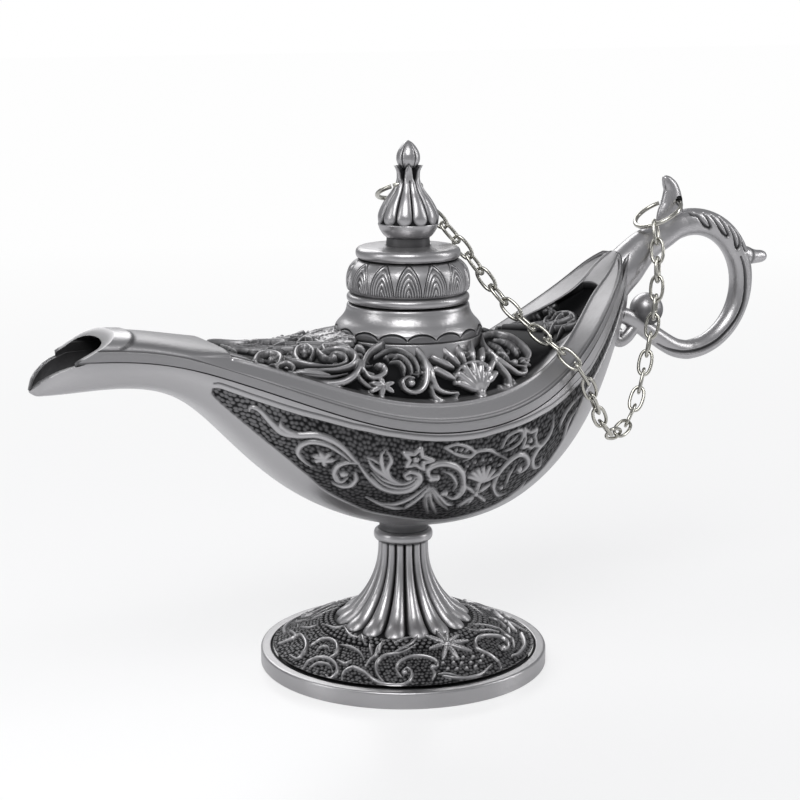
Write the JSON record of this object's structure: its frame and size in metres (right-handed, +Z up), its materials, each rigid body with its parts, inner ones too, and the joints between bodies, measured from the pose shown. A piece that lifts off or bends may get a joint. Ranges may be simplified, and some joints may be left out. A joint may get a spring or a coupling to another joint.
{
  "type": "genie oil lamp",
  "caption": "Footed oil lamp with a long spout, a pierced cover, a lift-off lid with a ribbed finial, a loop handle and a small chain from the lid to the handle.",
  "frame": {"origin": "centre of the foot's flat rest face, on the stem's axis", "axes": "+Z up the stem, +X from the stem towards the handle, the spout points to -X, +Y to the lamp's far side"},
  "size_m": [0.1426, 0.05, 0.0905],
  "materials": {
    "pewter_foot": "antiqued pewter-coloured zinc casting, satin, blackened in the hollows",
    "pewter_bowl": "antiqued pewter-coloured zinc casting, satin, blackened in the hollows",
    "pewter_cover": "antiqued pewter-coloured zinc casting, satin, blackened in the hollows",
    "pewter_neck": "antiqued pewter-coloured zinc casting, satin, blackened in the hollows",
    "pewter_lid": "antiqued pewter-coloured zinc casting, satin, blackened in the hollows",
    "pewter_finial": "antiqued pewter-coloured zinc casting, satin, blackened in the hollows",
    "pewter_handle": "antiqued pewter-coloured zinc casting, satin, blackened in the hollows",
    "steel_screw": "zinc-plated steel",
    "nickel_ring": "bright nickel-plated wire",
    "nickel_chain": "bright nickel-plated wire"
  },
  "bodies": {
    "base": {"foot": "pewter_foot", "foot_screw": "steel_screw", "foot_washer": "steel_screw", "bowl": "pewter_bowl", "cover": "pewter_cover", "neck_collar": "pewter_neck", "handle": "pewter_handle", "chain_link_01": "nickel_chain", "chain_link_02": "nickel_chain", "chain_link_03": "nickel_chain", "chain_link_04": "nickel_chain", "chain_link_05": "nickel_chain", "chain_link_06": "nickel_chain", "chain_link_07": "nickel_chain", "chain_link_08": "nickel_chain", "chain_link_09": "nickel_chain", "chain_link_10": "nickel_chain", "chain_link_11": "nickel_chain", "chain_link_12": "nickel_chain", "chain_link_13": "nickel_chain", "chain_link_14": "nickel_chain", "chain_link_15": "nickel_chain", "chain_link_16": "nickel_chain", "chain_link_17": "nickel_chain", "chain_link_18": "nickel_chain", "chain_link_19": "nickel_chain", "chain_link_20": "nickel_chain", "chain_link_21": "nickel_chain", "chain_link_22": "nickel_chain", "chain_link_23": "nickel_chain", "chain_link_24": "nickel_chain", "chain_link_25": "nickel_chain", "chain_link_26": "nickel_chain", "chain_link_27": "nickel_chain", "chain_link_28": "nickel_chain", "chain_link_29": "nickel_chain", "chain_link_30": "nickel_chain"},
    "lid": {"lid_cap": "pewter_lid", "finial": "pewter_finial", "finial_screw": "steel_screw"},
    "finial_ring": {"finial_ring": "nickel_ring"},
    "handle_ring": {"handle_ring": "nickel_ring"}
  },
  "joints": [
    {"name": "lid_lift", "type": "slide", "parent": "base", "child": "lid", "axis": [0, 0, 1], "range_m": [0, 0.03], "deforming": ["chain_link_01", "chain_link_02", "chain_link_03", "chain_link_04", "chain_link_05", "chain_link_06", "chain_link_07", "chain_link_08", "chain_link_09", "chain_link_10", "chain_link_11", "chain_link_12", "chain_link_13", "chain_link_14", "chain_link_15", "chain_link_16", "chain_link_17", "chain_link_18", "chain_link_19", "chain_link_20", "chain_link_21", "chain_link_22", "chain_link_23", "chain_link_24", "chain_link_25", "chain_link_26", "chain_link_27", "chain_link_28", "chain_link_29", "chain_link_30"]},
    {"name": "finial_ring_swing", "type": "hinge", "parent": "lid", "child": "finial_ring", "pos_m": [0.00093, 0, 0.0833], "axis": [1, 0, 0], "range_deg": [-15, 100], "deforming": ["chain_link_01", "chain_link_02", "chain_link_03", "chain_link_04", "chain_link_05", "chain_link_06"]},
    {"name": "handle_ring_swing", "type": "hinge", "parent": "base", "child": "handle_ring", "pos_m": [0.0563, 0, 0.0776], "axis": [0, 1, 0], "range_deg": [-2, 90], "deforming": ["chain_link_23", "chain_link_24", "chain_link_25", "chain_link_26", "chain_link_27", "chain_link_28", "chain_link_29", "chain_link_30"]}
  ]
}
